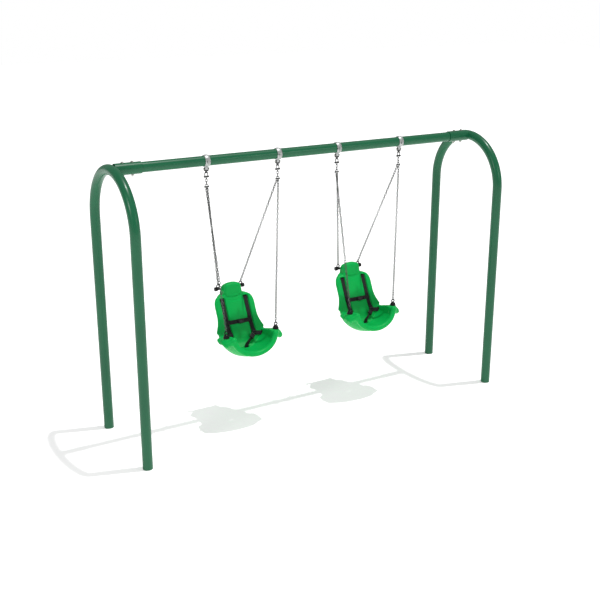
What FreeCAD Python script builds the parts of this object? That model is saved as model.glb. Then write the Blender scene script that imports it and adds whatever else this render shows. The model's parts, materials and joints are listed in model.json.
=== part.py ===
"""Two-bay swing frame with two high-back bucket seats. Millimetres, +Z up, ground at z = 0.

X runs along the top rail, the seats face -Y, and the origin is on the ground under the rail's middle.
Each swing is drawn about its own middle plane x = 0 and then moved to its place on the rail.
"""
import FreeCAD, Part
import math
import os

V = FreeCAD.Vector
X_DIR = V(1, 0, 0)
Y_DIR = V(0, 1, 0)
Z_DIR = V(0, 0, 1)

# frame
TUBE_R = 44.45             # 3.5 in pipe
TUBE_WALL = 3.05
RAIL_UNDERSIDE = 2438.0    # 8 ft clear height
RAIL_Z = RAIL_UNDERSIDE + TUBE_R
ARCH_X = 1861.5            # middle of the rail to an arch's plane
LEG_Y = 471.5              # half the leg spacing, and the crown's radius
SLEEVE_R = 50.8            # 4 in socket
SLEEVE_GAP = 0.5           # between the rail and its socket
SLEEVE_FACE_X = 1604.0     # open end of the socket
SLEEVE_ROOT_BACK = 27.0    # socket's root, short of the arch's plane
RAIL_END_GAP = 6.0         # rail's end to the arch's wall
SLEEVE_BOLT_XS = (1678.0, 1763.0)
SLEEVE_BOLT_R = 6.35
HOLE_GAP = 0.25            # radial room of a bolt in its hole

# hangers
SWING_XS = (-663.0, 663.0)
HANGER_DX = 350.0          # swing's middle to each of its hangers
BAND_HALF_W = 22.5
BAND_INNER_R = TUBE_R + 0.05
BAND_EDGE_R = 50.0
BAND_CROWN_R = 54.5
BAND_SPLIT = 1.5           # half the slot between the clamp's halves
EAR_HALF_W = 10.0
EAR_REACH = 70.0
EAR_T = 12.0
CLAMP_BOLT_Y = 61.0
CLAMP_BOLT_R = 4.0
PIVOT_Z = 2414.0
LUG_R = 11.5
LUG_HALF_W = 12.5
BUSH_R = 7.5
BUSH_HALF_L = 13.0
PIVOT_BOLT_R = 5.0
RUNNING_GAP = 0.05
YOKE_IN = 13.3             # inner faces of the yoke's cheeks
YOKE_OUT = 19.5
YOKE_CHEEK_R = 12.0
YOKE_WEB_TOP = 2401.5
YOKE_WEB_BOTTOM = 2393.5
YOKE_EYE_Z = 2385.0
YOKE_EYE_R = 5.5
YOKE_BLADE_HALF_W = 6.0
YOKE_BLADE_R = 10.5
SHACKLE_WIRE_R = 4.0
SHACKLE_CROWN_UP = 0.9     # middle of the bow's wire above the middle of the yoke's eye
SHACKLE_HALF_W = 14.0
SHACKLE_PIN_Z = 2346.0
SHACKLE_EYE_R = 8.5
FORK_WIRE_R = 3.0
FORK_HALF_W = 15.5
FORK_PIN_Z = 2258.0
FORK_EYE_R = 6.5
TOUCH = 0.5                # gap left where loose parts bear on each other

# chain
LINK_WIRE_R = 2.75
LINK_INNER_L = 24.6
LINK_INNER_W = 10.4
LINK_PITCH_MAX = LINK_INNER_L - 0.3
CHAIN_SIDE_STEP = 5.8      # each chain's first link from the middle of the fork pin

# seat hardware
FRONT_EYE = V(253.5, -115.0, 888.0)    # on top of the arm
EYE_RING_R = 14.0
EYE_WIRE_R = 4.8
FRONT_RING_UP = 49.0
BOOT_BASE_R = 27.0
BOOT_TOP_R = 10.0
BOOT_RIM_H = 9.0
BOOT_H = 37.0
EYE_SHANK_R = 5.0
EYE_SEAT_T = 52.0          # thickness of the arm between the boot and its nut
EYE_SEAT_R = 29.0          # flat round the eye, over and under the arm
REAR_BAR_Y = 316.0
REAR_BAR_Z = 1213.0
REAR_BAR_R = 6.0
REAR_EYE_X = 117.0
REAR_RING_UP = 27.0
COLLAR_R = 13.0
KNOB_R = 19.5
KNOB_XS = (124.0, 153.0)
KNOB_ROUNDING = 5.0

# seat shell
ARM_SLOPE = 0.27           # fall of the arms per millimetre towards the back
WING_T = 40.0              # thickness of the backrest's wings
WING_ROOT_X = 165.0        # where the full thickness of the back ends
HEAD_HALF_W = 98.0
CHANNEL_XS = (94.0, 146.0)
CHANNEL_DEPTH = 15.0
CHANNEL_ZS = (800.0, 1142.0)
SLOT_XS = (98.0, 142.0)
SLOT_Z = 1129.0
SLOT_HALF_H = 7.0
BACK_AT_SLOT_Y = 308.0      # back of the shell at the shoulder slots
PAN_SLOT_Y = -18.0
PAN_SLOT_HALF = V(24.0, 6.0, 60.0)
LIP_A = 212.0              # half width of the rolled lip's centre line
LIP_B = 166.5              # its drop below the arms
LIP_TOP_Z = 890.0
LIP_TOP_Y = -180.0
LIP_LEAN = 0.24            # forward lean of the lip for each millimetre of drop
LIP_R = 24.0
ARM_T = 44.0
WALL = 5.0                 # moulded wall of the hollow shell
SLOT_TUBE = 7.0            # plastic left round a slot through the hollow

# harness
WEB_HALF_W = 19.0          # 38 mm webbing
WEB_T = 2.5
STRAP_X = 120.0            # middle of each shoulder strap
STRAP_LIFT = 3.0           # strap's middle above the channel's floor
STRAP_LOW_Z = 838.0
CHEST_Z = 935.0
CHEST_BUCKLE_X = 12.0
CHEST_BUCKLE_Y = 105.9
CHEST_BUCKLE = V(62.0, 15.0, 40.0)
HIP = V(120.0, 62.0, 816.0)            # where the lap strap joins the shoulder strap
HIP_ANCHOR = V(188.0, 48.0, 810.0)     # where the lap strap leaves the side wall
FACE_SLOPE = V(0, 0.48, 0.88)          # uphill along the backrest's face
CROTCH_ROUTE = (V(0, -18, 690), V(0, -18, 738), V(22, -12, 766), V(52, 2, 788))
BUCKLE_AT = V(80.0, 20.0, 806.0)
BUCKLE = V(44.0, 15.0, 54.0)           # width, thickness, length
BUTTON = V(20.0, 4.0, 22.0)
BUTTON_PROUD = 2.0
BUTTON_GAP = 0.4


def mirrored(shape):
    """The same shape on the other side of the middle plane."""
    return shape.mirror(V(0, 0, 0), X_DIR)


def both_sides(shape):
    return [shape, mirrored(shape)]


def cylinder_x(r, x0, x1, y, z):
    return Part.makeCylinder(r, x1 - x0, V(x0, y, z), X_DIR)


def cylinder_z(r, z0, z1, x, y):
    return Part.makeCylinder(r, z1 - z0, V(x, y, z0), Z_DIR)


def block(x0, x1, y0, y1, z0, z1):
    return Part.makeBox(x1 - x0, y1 - y0, z1 - z0, V(x0, y0, z0))


def fused(shapes):
    whole = shapes[0].multiFuse(shapes[1:])
    return whole.removeSplitter()


def hexagon(across, z0, z1, x, y):
    """Bolt head or nut with its axis along Z."""
    r = across / math.sqrt(3)
    corners = [V(x + r * math.cos(math.radians(a)), y + r * math.sin(math.radians(a)), z0)
               for a in range(0, 361, 60)]
    prism = Part.Face(Part.makePolygon(corners)).extrude(V(0, 0, z1 - z0))
    middle = (z0 + z1) / 2
    chamfer = Part.makeSphere(math.hypot(r * 0.93, (z1 - z0) / 2), V(x, y, middle))
    return prism.common(chamfer)


def turned_to_x(shape, x, y, z):
    """Turns a shape drawn about the Z axis at the origin to lie along X at a place."""
    out = shape.copy()
    out.rotate(V(0, 0, 0), Y_DIR, 90)
    out.translate(V(x, y, z))
    return out


# ---------------------------------------------------------------- frame

def arch_body(x, r):
    """Solid of radius r along the arch's centre line, from the ground up and over."""
    top = RAIL_Z - LEG_Y
    line = [Part.LineSegment(V(x, -LEG_Y, 0), V(x, -LEG_Y, top)).toShape(),
            Part.Arc(V(x, -LEG_Y, top), V(x, 0, RAIL_Z), V(x, LEG_Y, top)).toShape(),
            Part.LineSegment(V(x, LEG_Y, top), V(x, LEG_Y, 0)).toShape()]
    section = Part.Wire(Part.makeCircle(r, V(x, -LEG_Y, 0), Z_DIR))
    return Part.Wire(line).makePipeShell([section], True, True)


def arch(x):
    return arch_body(x, TUBE_R).cut(arch_body(x, TUBE_R - TUBE_WALL))


def sleeve_bolt_holes(side, r):
    reach = 2 * SLEEVE_R
    return [cylinder_z(r, RAIL_Z - reach, RAIL_Z + reach, side * x, 0) for x in SLEEVE_BOLT_XS]


def top_rail():
    end = ARCH_X - TUBE_R - RAIL_END_GAP
    rail = cylinder_x(TUBE_R, -end, end, 0, RAIL_Z)
    rail = rail.cut(cylinder_x(TUBE_R - TUBE_WALL, -end, end, 0, RAIL_Z))
    for side in (-1, 1):
        for hole in sleeve_bolt_holes(side, SLEEVE_BOLT_R + HOLE_GAP):
            rail = rail.cut(hole)
    return rail


def sleeve(side):
    ends = sorted((side * SLEEVE_FACE_X, side * (ARCH_X - SLEEVE_ROOT_BACK)))
    body = cylinder_x(SLEEVE_R, ends[0], ends[1], 0, RAIL_Z)
    body = body.cut(cylinder_x(TUBE_R + SLEEVE_GAP, ends[0], ends[1], 0, RAIL_Z))
    body = body.cut(arch_body(side * ARCH_X, TUBE_R))
    for hole in sleeve_bolt_holes(side, SLEEVE_BOLT_R + HOLE_GAP):
        body = body.cut(hole)
    return body


def sleeve_bolt(x):
    """Through bolt with a low dome head on top and a nut below."""
    head_z = RAIL_Z + SLEEVE_R
    tail_z = RAIL_Z - SLEEVE_R - 18.0
    shank = cylinder_z(SLEEVE_BOLT_R, tail_z, head_z + 1, x, 0)
    washer = cylinder_z(15.0, head_z, head_z + 2.0, x, 0)
    head = hexagon(19.0, head_z + 2.0, head_z + 9.5, x, 0)
    nut_top = RAIL_Z - SLEEVE_R
    nut = hexagon(19.0, nut_top - 13.0, nut_top - 2.0, x, 0)
    nut_washer = cylinder_z(15.0, nut_top - 2.0, nut_top, x, 0)
    bore = cylinder_z(SLEEVE_BOLT_R, tail_z, nut_top + 1, x, 0)
    return [fused([shank, washer, head]), fused([nut, nut_washer]).cut(bore)]


# ---------------------------------------------------------------- hangers

def band_half(x, upper):
    """Half of the cast band round the rail, with a crowned outside."""
    z0 = BAND_INNER_R
    outline = [Part.LineSegment(V(-BAND_HALF_W, 0, z0), V(BAND_HALF_W, 0, z0)).toShape(),
               Part.LineSegment(V(BAND_HALF_W, 0, z0), V(BAND_HALF_W, 0, BAND_EDGE_R)).toShape(),
               Part.Arc(V(BAND_HALF_W, 0, BAND_EDGE_R), V(0, 0, BAND_CROWN_R),
                        V(-BAND_HALF_W, 0, BAND_EDGE_R)).toShape(),
               Part.LineSegment(V(-BAND_HALF_W, 0, BAND_EDGE_R), V(-BAND_HALF_W, 0, z0)).toShape()]
    ring = Part.Face(Part.Wire(outline)).revolve(V(0, 0, 0), X_DIR, 360)
    rail = cylinder_x(BAND_INNER_R, -BAND_HALF_W, BAND_HALF_W, 0, 0)
    ears = block(-EAR_HALF_W, EAR_HALF_W, -CLAMP_BOLT_Y, CLAMP_BOLT_Y, -EAR_T, EAR_T).cut(rail)
    ends = [cylinder_z(EAR_HALF_W, -EAR_T, EAR_T, 0, side * CLAMP_BOLT_Y) for side in (-1, 1)]
    whole = fused([ring, ears] + ends)
    for side in (-1, 1):
        whole = whole.cut(cylinder_z(CLAMP_BOLT_R + HOLE_GAP, -EAR_T, EAR_T, 0, side * CLAMP_BOLT_Y))
    low = BAND_SPLIT if upper else -2 * BAND_CROWN_R
    high = 2 * BAND_CROWN_R if upper else -BAND_SPLIT
    half = whole.common(block(-BAND_HALF_W - 1, BAND_HALF_W + 1, -2 * EAR_REACH, 2 * EAR_REACH, low, high))
    half.translate(V(x, 0, RAIL_Z))
    return half


def lower_clamp(x):
    """Lower half of the band, with the bearing lug under it."""
    band = band_half(x, False)
    lug = cylinder_x(LUG_R, x - LUG_HALF_W, x + LUG_HALF_W, 0, PIVOT_Z)
    neck = block(x - LUG_HALF_W, x + LUG_HALF_W, -LUG_R, LUG_R, PIVOT_Z, RAIL_Z - BAND_INNER_R)
    neck = neck.cut(cylinder_x(BAND_INNER_R, x - LUG_HALF_W, x + LUG_HALF_W, 0, RAIL_Z))
    bore = cylinder_x(BUSH_R, x - LUG_HALF_W, x + LUG_HALF_W, 0, PIVOT_Z)
    return fused([band, lug, neck]).cut(bore)


def bushing(x):
    outer = cylinder_x(BUSH_R, x - BUSH_HALF_L, x + BUSH_HALF_L, 0, PIVOT_Z)
    inner_r = PIVOT_BOLT_R + RUNNING_GAP
    return outer.cut(cylinder_x(inner_r, x - BUSH_HALF_L, x + BUSH_HALF_L, 0, PIVOT_Z))


def clamp_bolt(x, y):
    head_z = RAIL_Z + EAR_T
    nut_z = RAIL_Z - EAR_T
    shank = cylinder_z(CLAMP_BOLT_R, nut_z - 11.0, head_z + 1, x, y)
    head = hexagon(13.0, head_z, head_z + 5.5, x, y)
    nut = hexagon(13.0, nut_z - 7.0, nut_z, x, y)
    return [fused([shank, head]), nut.cut(cylinder_z(CLAMP_BOLT_R, nut_z - 12.0, nut_z + 1, x, y))]


def yoke(x):
    """Pendulum: two cheeks on the pivot bolt, a web under the lug and a blade with an eye."""
    width = 2 * YOKE_OUT
    cheek = cylinder_x(YOKE_CHEEK_R, -YOKE_OUT, YOKE_OUT, 0, PIVOT_Z)
    body = block(-YOKE_OUT, YOKE_OUT, -YOKE_BLADE_R, YOKE_BLADE_R, YOKE_WEB_BOTTOM, PIVOT_Z)
    rounding = cylinder_y_pair(width)
    body = body.common(rounding)
    slot = block(-YOKE_IN, YOKE_IN, -2 * YOKE_CHEEK_R, 2 * YOKE_CHEEK_R, YOKE_WEB_TOP, PIVOT_Z + 30)
    blade = cylinder_x(YOKE_BLADE_R, -YOKE_BLADE_HALF_W, YOKE_BLADE_HALF_W, 0, YOKE_EYE_Z)
    blade_neck = block(-YOKE_BLADE_HALF_W, YOKE_BLADE_HALF_W, -YOKE_BLADE_R, YOKE_BLADE_R,
                       YOKE_EYE_Z, YOKE_WEB_BOTTOM + 1)
    whole = fused([fused([cheek, body]).cut(slot), blade, blade_neck])
    whole = whole.cut(cylinder_x(YOKE_EYE_R, -width, width, 0, YOKE_EYE_Z))
    whole = whole.cut(cylinder_x(PIVOT_BOLT_R, -width, width, 0, PIVOT_Z))
    whole.translate(V(x, 0, 0))
    return whole


def cylinder_y_pair(width):
    """A plate along Y whose two lower corners are rounded, to trim the yoke's web."""
    r = 9.0
    z0 = YOKE_WEB_BOTTOM
    half = width / 2
    plate = block(-half, half, -width, width, z0 + r, PIVOT_Z + 30)
    middle = block(-half + r, half - r, -width, width, z0, PIVOT_Z)
    rounds = [Part.makeCylinder(r, 2 * width, V(side * (half - r), -width, z0 + r), Y_DIR) for side in (-1, 1)]
    return fused([plate, middle] + rounds)


def pivot_bolt(x):
    """Bolt along X through the yoke's cheeks, with a head and a nut."""
    shank = cylinder_x(PIVOT_BOLT_R, x - YOKE_OUT - 1, x + YOKE_OUT + 10, 0, PIVOT_Z)
    head = turned_to_x(hexagon(16.0, -7.0, 0.0, 0, 0), x - YOKE_OUT, 0, PIVOT_Z)
    nut = turned_to_x(hexagon(16.0, 0.0, 8.0, 0, 0), x + YOKE_OUT, 0, PIVOT_Z)
    bore = cylinder_x(PIVOT_BOLT_R, x + YOKE_OUT - 1, x + YOKE_OUT + 12, 0, PIVOT_Z)
    return [fused([shank, head]), nut.cut(bore)]


def shackle(x, crown_z, pin_z, half_w, wire_r, eye_r, pin_r):
    """Bow up in the XZ plane and a bolt along X through the two eyes of its legs."""
    arc_z = crown_z - half_w
    line = [Part.LineSegment(V(-half_w, 0, pin_z), V(-half_w, 0, arc_z)).toShape(),
            Part.Arc(V(-half_w, 0, arc_z), V(0, 0, crown_z), V(half_w, 0, arc_z)).toShape(),
            Part.LineSegment(V(half_w, 0, arc_z), V(half_w, 0, pin_z)).toShape()]
    section = Part.Wire(Part.makeCircle(wire_r, V(-half_w, 0, pin_z), Z_DIR))
    bow = Part.Wire(line).makePipeShell([section], True, True)
    eyes = [cylinder_x(eye_r, side * half_w - wire_r, side * half_w + wire_r, 0, pin_z) for side in (-1, 1)]
    reach = half_w + wire_r
    bow = fused([bow] + eyes).cut(cylinder_x(pin_r, -reach - 1, reach + 1, 0, pin_z))
    shank = cylinder_x(pin_r, -reach - 1, reach + 6.0, 0, pin_z)
    across = 3.2 * pin_r
    head = turned_to_x(hexagon(across, -1.3 * pin_r, 0, 0, 0), -reach, 0, pin_z)
    nut = turned_to_x(hexagon(across, 0, 1.5 * pin_r, 0, 0), reach, 0, pin_z)
    nut = nut.cut(cylinder_x(pin_r, reach - 1, reach + 12, 0, pin_z))
    solids = [bow, fused([shank, head]), nut]
    for solid in solids:
        solid.translate(V(x, 0, 0))
    return solids


# ---------------------------------------------------------------- chain

def link_pattern():
    """One welded link: long axis along Z, flat side facing X, centred on the origin."""
    bend_r = LINK_INNER_W / 2 + LINK_WIRE_R
    half_straight = LINK_INNER_L / 2 - LINK_INNER_W / 2
    pieces = []
    for side in (-1, 1):
        pieces.append(cylinder_z(LINK_WIRE_R, -half_straight, half_straight, 0, side * bend_r))
        section = Part.Face(Part.Wire(Part.makeCircle(LINK_WIRE_R, V(0, -bend_r, side * half_straight), Z_DIR)))
        pieces.append(section.revolve(V(0, 0, side * half_straight), X_DIR, -side * 180))
    return fused(pieces)


LINK = link_pattern()


def placed_link(centre, direction, turn):
    """A link along a direction, its flat side turned away from X by an angle about that direction."""
    z_axis = V(direction).normalize()
    x_axis = (X_DIR - z_axis * X_DIR.dot(z_axis)).normalize()
    y_axis = z_axis.cross(x_axis)
    basis = FreeCAD.Matrix(x_axis.x, y_axis.x, z_axis.x, centre.x,
                           x_axis.y, y_axis.y, z_axis.y, centre.y,
                           x_axis.z, y_axis.z, z_axis.z, centre.z, 0, 0, 0, 1)
    link = LINK.copy()
    link.rotate(V(0, 0, 0), Z_DIR, turn)
    link.Placement = FreeCAD.Placement(basis).multiply(link.Placement)
    return link


def chain(top_wire, top_wire_r, bottom_wire, bottom_wire_r):
    """Taut chain from one cross wire to another; both its end links bear on wires that run along X."""
    span = bottom_wire - top_wire
    direction = V(span).normalize()
    start = LINK_INNER_L / 2 - top_wire_r - TOUCH
    finish = LINK_INNER_L / 2 - bottom_wire_r - TOUCH
    run = span.Length - start - finish
    steps = math.ceil(run / LINK_PITCH_MAX)
    steps += 1 - steps % 2
    pitch = run / steps
    twist = 90.0 / steps
    return [placed_link(top_wire + direction * (start + i * pitch), direction, i * (90.0 + twist))
            for i in range(steps + 1)]


def upper_links(x):
    """Three links between the shackle's bolt and the fork's bow."""
    first = SHACKLE_PIN_Z + SHACKLE_WIRE_R + TOUCH - LINK_INNER_L / 2
    return [placed_link(V(x, 0, first - i * LINK_PITCH_MAX), Z_DIR, 90.0 * i) for i in range(3)]


def fork_crown_z():
    last = SHACKLE_PIN_Z + SHACKLE_WIRE_R + TOUCH - LINK_INNER_L / 2 - 2 * LINK_PITCH_MAX
    return last - LINK_INNER_L / 2 + FORK_WIRE_R + TOUCH


def swing_chains():
    """The four chains: name and list of links."""
    rear_top = V(REAR_EYE_X, REAR_BAR_Y, REAR_BAR_Z + REAR_RING_UP + EYE_RING_R)
    front_top = FRONT_EYE + V(0, 0, FRONT_RING_UP + EYE_RING_R)
    front = chain(V(HANGER_DX + CHAIN_SIDE_STEP, 0, FORK_PIN_Z), FORK_WIRE_R, front_top, EYE_WIRE_R)
    rear = chain(V(HANGER_DX - CHAIN_SIDE_STEP, 0, FORK_PIN_Z), FORK_WIRE_R, rear_top, EYE_WIRE_R)
    return {"front_right_chain": front, "front_left_chain": [mirrored(link) for link in front],
            "rear_right_chain": rear, "rear_left_chain": [mirrored(link) for link in rear]}


# ---------------------------------------------------------------- seat shell

# side profile of the raised front face, from the headrest's top down and forward to the lip
FACE = [V(0, 262, 1284), V(0, 243, 1262), V(0, 237, 1205), V(0, 230, 1150), V(0, 205, 1100),
        V(0, 130, 945), V(0, 78, 850), V(0, 34, 768), V(0, -18, 730), V(0, -90, 722), V(0, -160, 731),
        V(0, -200, 742)]
# the outside, from the headrest's top down the back and forward under the pan
BACK = [V(0, 294, 1284), V(0, 328, 1255), V(0, 338, 1213), V(0, 322, 1160), V(0, 282, 1100),
        V(0, 198, 945), V(0, 156, 850), V(0, 122, 760), V(0, 76, 690), V(0, 0, 654), V(0, -100, 658),
        V(0, -200, 690)]
# half outline of the shell seen from the front: (half width, 0, height)
OUTLINE = [V(0, 0, 1284), V(48, 0, 1276), V(83, 0, 1253), V(98, 0, 1215), V(99, 0, 1185), V(108, 0, 1165),
           V(150, 0, 1154), V(184, 0, 1126), V(203, 0, 1080), V(203, 0, 1020), V(204, 0, 970),
           V(216, 0, 920), V(241, 0, 858), V(226, 0, 790), V(186, 0, 722), V(110, 0, 672), V(0, 0, 652)]


def curve(points):
    line = Part.BSplineCurve()
    line.interpolate(points)
    return line.toShape()


def straight(a, b):
    return Part.LineSegment(a, b).toShape()


def shifted(points, step):
    return [p + step for p in points]


def inset(points, distance):
    """Points moved sideways off their own line, to the left of its direction in the YZ or XZ plane."""
    out = []
    last = len(points) - 1
    for i, p in enumerate(points):
        along = points[min(i + 1, last)] - points[max(i - 1, 0)]
        flat = V(0, -along.z, along.y) if abs(along.x) < 1e-6 else V(-along.z, 0, along.x)
        out.append(p + flat.normalize() * distance)
    return out


def side_prism(face_points, back_points, half_w):
    """The side profile between the face and the outside, as wide as asked."""
    edges = [curve(face_points), straight(face_points[-1], back_points[-1]),
             curve(back_points[::-1]), straight(back_points[0], face_points[0])]
    face = Part.Face(Part.Wire(edges))
    face.translate(V(-half_w, 0, 0))
    return face.extrude(V(2 * half_w, 0, 0))


def outline_prism(points):
    """The shell's outline swept through the whole depth."""
    left = [V(-p.x, 0, p.z) for p in points]
    face = Part.Face(Part.Wire([curve(points), curve(left[::-1])]))
    face.translate(V(0, -300, 0))
    return face.extrude(V(0, 800, 0))


def behind_wing(thickness, root_x):
    """Everything behind one wing of the backrest."""
    far = 500.0
    line = shifted(FACE[:7], V(0, thickness, 0))
    edges = [curve(line), straight(line[-1], V(0, far, line[-1].z)),
             straight(V(0, far, line[-1].z), V(0, far, line[0].z)), straight(V(0, far, line[0].z), line[0])]
    face = Part.Face(Part.Wire(edges))
    face.translate(V(root_x, 0, 0))
    return face.extrude(V(300 - root_x, 0, 0))


def back_slab():
    """Backrest and headrest, from the outline and the side profile, down to the pan."""
    slab = side_prism(FACE, BACK, 250).common(outline_prism(OUTLINE))
    for space in both_sides(behind_wing(WING_T, WING_ROOT_X)):
        slab = slab.cut(space)
    return slab


def back_hollow():
    """Space inside the moulded back, one wall in from every side."""
    face = inset(FACE, CHANNEL_DEPTH + WALL)[1:9]
    back = inset(BACK, -WALL)[1:9]
    outline = inset(OUTLINE, -WALL)
    outline[0] = OUTLINE[0] - V(0, 0, WALL)
    outline[-1] = OUTLINE[-1] + V(0, 0, WALL)
    hollow = side_prism(face, back, 250).common(outline_prism(outline))
    for space in both_sides(behind_wing(WING_T - WALL, WING_ROOT_X - WALL)):
        hollow = hollow.cut(space)
    return hollow


def bowl_section(y, a, b, top, power):
    """Closed half super-ellipse hanging from a level top, in the plane of one y."""
    count = 12
    points = []
    for i in range(count + 1):
        t = math.pi * i / count
        c = math.cos(t)
        s = math.sin(t)
        x = a * math.copysign(abs(c) ** (2 / power), c)
        points.append(V(x, y, LIP_TOP_Z - b * abs(s) ** (2 / power)))
    ends = [V(a, y, top), V(-a, y, top)]
    edges = [straight(ends[0], points[0]), curve(points), straight(points[-1], ends[1]),
             straight(ends[1], ends[0])]
    return Part.Wire(edges)


# sections of the pan along Y: (y, half width, depth below the arms, roundness)
OUTER_SECTIONS = ((-214, 222, 178, 2.1), (-150, 234, 212, 2.2), (-40, 243, 236, 2.4), (70, 240, 220, 2.5),
                  (140, 214, 150, 2.5))
INNER_SECTIONS = ((-262, 190, 136, 2.0), (-150, 194, 156, 2.1), (-40, 203, 168, 2.2), (70, 202, 160, 2.3),
                  (170, 180, 120, 2.3))
RIM = (V(0, -330, 940), V(0, -180, 904), V(0, -20, 862), V(0, 90, 846), V(0, 240, 846))   # top of the side walls


def pan_loft(sections, grow, top):
    return Part.makeLoft([bowl_section(y, a + grow, b + grow, top, p) for y, a, b, p in sections], True)


def above_rim(drop):
    """Everything over the side walls' top edge, lowered by an amount."""
    side = [V(-300, p.y, p.z - drop) for p in RIM]
    ceiling = 1100.0
    side += [V(-300, RIM[-1].y, ceiling), V(-300, RIM[0].y, ceiling), side[0]]
    return Part.Face(Part.makePolygon(side)).extrude(V(600, 0, 0))


def bowl():
    """Pan and side walls: an outer loft less an inner loft, cut to fall towards the back."""
    shell = pan_loft(OUTER_SECTIONS, 0, 960).cut(pan_loft(INNER_SECTIONS, 0, 961))
    return shell.cut(above_rim(0))


def bowl_hollow():
    """Space inside the pan's double wall."""
    space = pan_loft(OUTER_SECTIONS[:-1], -WALL, 960).cut(pan_loft(INNER_SECTIONS, WALL, 961))
    return space.cut(above_rim(WALL))


def lip():
    """Rolled front edge, swept along half an ellipse that leans forward as it drops."""
    points = []
    count = 12
    for i in range(count + 1):
        t = math.pi * i / count
        drop = LIP_B * math.sin(t)
        points.append(V(LIP_A * math.cos(t), LIP_TOP_Y - LIP_LEAN * drop, LIP_TOP_Z - drop))
    path = Part.Wire(curve(points))
    section = Part.Wire(Part.makeCircle(LIP_R, points[0], Z_DIR))
    roll = path.makePipeShell([section], True, True)
    caps = [Part.makeSphere(LIP_R, end) for end in (points[0], points[-1])]
    return fused([roll] + caps)


def arm():
    """Side arm: a thick rounded ear that droops a little to its end."""
    plan = [V(190, -200, 0), V(262, -190, 0), V(304, -170, 0), V(326, -135, 0), V(330, -95, 0), V(323, -52, 0),
            V(298, -26, 0), V(255, -16, 0), V(190, -12, 0)]
    edge = [curve(plan), straight(plan[-1], plan[0])]
    plate = Part.Face(Part.Wire(edge)).extrude(V(0, 0, 260))
    plate.translate(V(0, 0, 740))
    y = -250
    top = FRONT_EYE.z + ARM_SLOPE * (FRONT_EYE.y - y)
    under = top - ARM_T
    side = [straight(V(142, y, under), V(150, y, top)),
            straight(V(150, y, top), V(264, y, top)),
            Part.Arc(V(264, y, top), V(308, y, top - 9), V(346, y, top - 36)).toShape(),
            straight(V(346, y, top - 36), V(338, y, under - 36)),
            Part.Arc(V(338, y, under - 36), V(312, y, under - 11), V(278, y, under)).toShape(),
            straight(V(278, y, under), V(142, y, under))]
    run = 350
    slab = Part.Face(Part.Wire(side)).extrude(V(0, run, -ARM_SLOPE * run))
    flat = cylinder_z(EYE_SEAT_R, FRONT_EYE.z - EYE_SEAT_T, FRONT_EYE.z, FRONT_EYE.x, FRONT_EYE.y)
    return fused([plate.common(slab), flat])


def channel_cutter():
    """Recess for a shoulder strap, between the middle panel and a side wing."""
    floor = shifted(FACE, V(0, CHANNEL_DEPTH, 0))
    far = -200.0
    edges = [curve(floor), straight(floor[-1], V(0, far, floor[-1].z)),
             straight(V(0, far, floor[-1].z), V(0, far, floor[0].z)),
             straight(V(0, far, floor[0].z), floor[0])]
    face = Part.Face(Part.Wire(edges))
    face.translate(V(CHANNEL_XS[0], 0, 0))
    deep = face.extrude(V(CHANNEL_XS[1] - CHANNEL_XS[0], 0, 0))
    return deep.common(block(0, 300, -400, 400, CHANNEL_ZS[0], CHANNEL_ZS[1]))


def slot_block(grow):
    """Slot for a shoulder strap, grown by an amount."""
    return block(SLOT_XS[0] - grow, SLOT_XS[1] + grow, 150, 420,
                 SLOT_Z - SLOT_HALF_H - grow, SLOT_Z + SLOT_HALF_H + grow)


def pan_slot_block(grow):
    half = PAN_SLOT_HALF
    return block(-half.x - grow, half.x + grow, PAN_SLOT_Y - half.y - grow, PAN_SLOT_Y + half.y + grow,
                 600, 780)


def hip_slot_block(grow):
    at = HIP_ANCHOR
    return block(at.x - 16, at.x + 70, at.y - 16 - grow, at.y + 12 + grow,
                 at.z - WEB_HALF_W - 3 - grow, at.z + WEB_HALF_W + 3 + grow)


def seat_shell():
    """One hollow moulding: back, pan, rolled lip and arms, with its slots and bolt holes."""
    shell = fused([back_slab(), bowl(), lip()] + both_sides(arm()))
    for cutter in both_sides(channel_cutter()):
        shell = shell.cut(cutter)
    hollow = back_hollow().fuse(bowl_hollow())
    bar = cylinder_x(REAR_BAR_R + HOLE_GAP + WALL, -200, 200, REAR_BAR_Y, REAR_BAR_Z)
    shank = cylinder_z(EYE_SHANK_R + HOLE_GAP + WALL, 700, 1000, FRONT_EYE.x, FRONT_EYE.y)
    for solid in both_sides(slot_block(SLOT_TUBE)) + [pan_slot_block(SLOT_TUBE), bar] \
            + both_sides(hip_slot_block(SLOT_TUBE)) + both_sides(shank):
        hollow = hollow.cut(solid)
    shell = shell.cut(hollow)
    cuts = both_sides(slot_block(0)) + [pan_slot_block(0)] + both_sides(hip_slot_block(0))
    cuts.append(cylinder_x(REAR_BAR_R + HOLE_GAP, -200, 200, REAR_BAR_Y, REAR_BAR_Z))
    cuts += both_sides(cylinder_z(EYE_SHANK_R + HOLE_GAP, 700, 1000, FRONT_EYE.x, FRONT_EYE.y))
    cuts += both_sides(cylinder_z(EYE_SEAT_R, FRONT_EYE.z, 1000, FRONT_EYE.x, FRONT_EYE.y))
    for cutter in cuts:
        shell = shell.cut(cutter)
    return shell


# ---------------------------------------------------------------- seat hardware

def front_eye():
    """Coated ring on a boot, with a shank down through the arm."""
    at = FRONT_EYE
    rim = cylinder_z(BOOT_BASE_R, at.z, at.z + BOOT_RIM_H, at.x, at.y)
    boot = Part.makeCone(BOOT_BASE_R, BOOT_TOP_R, BOOT_H - BOOT_RIM_H, at + V(0, 0, BOOT_RIM_H), Z_DIR)
    ring = Part.makeTorus(EYE_RING_R, EYE_WIRE_R, at + V(0, 0, FRONT_RING_UP), Y_DIR)
    shank = cylinder_z(EYE_SHANK_R, at.z - EYE_SEAT_T - 22, at.z + 1, at.x, at.y)
    return fused([rim, boot, ring, shank])


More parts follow.
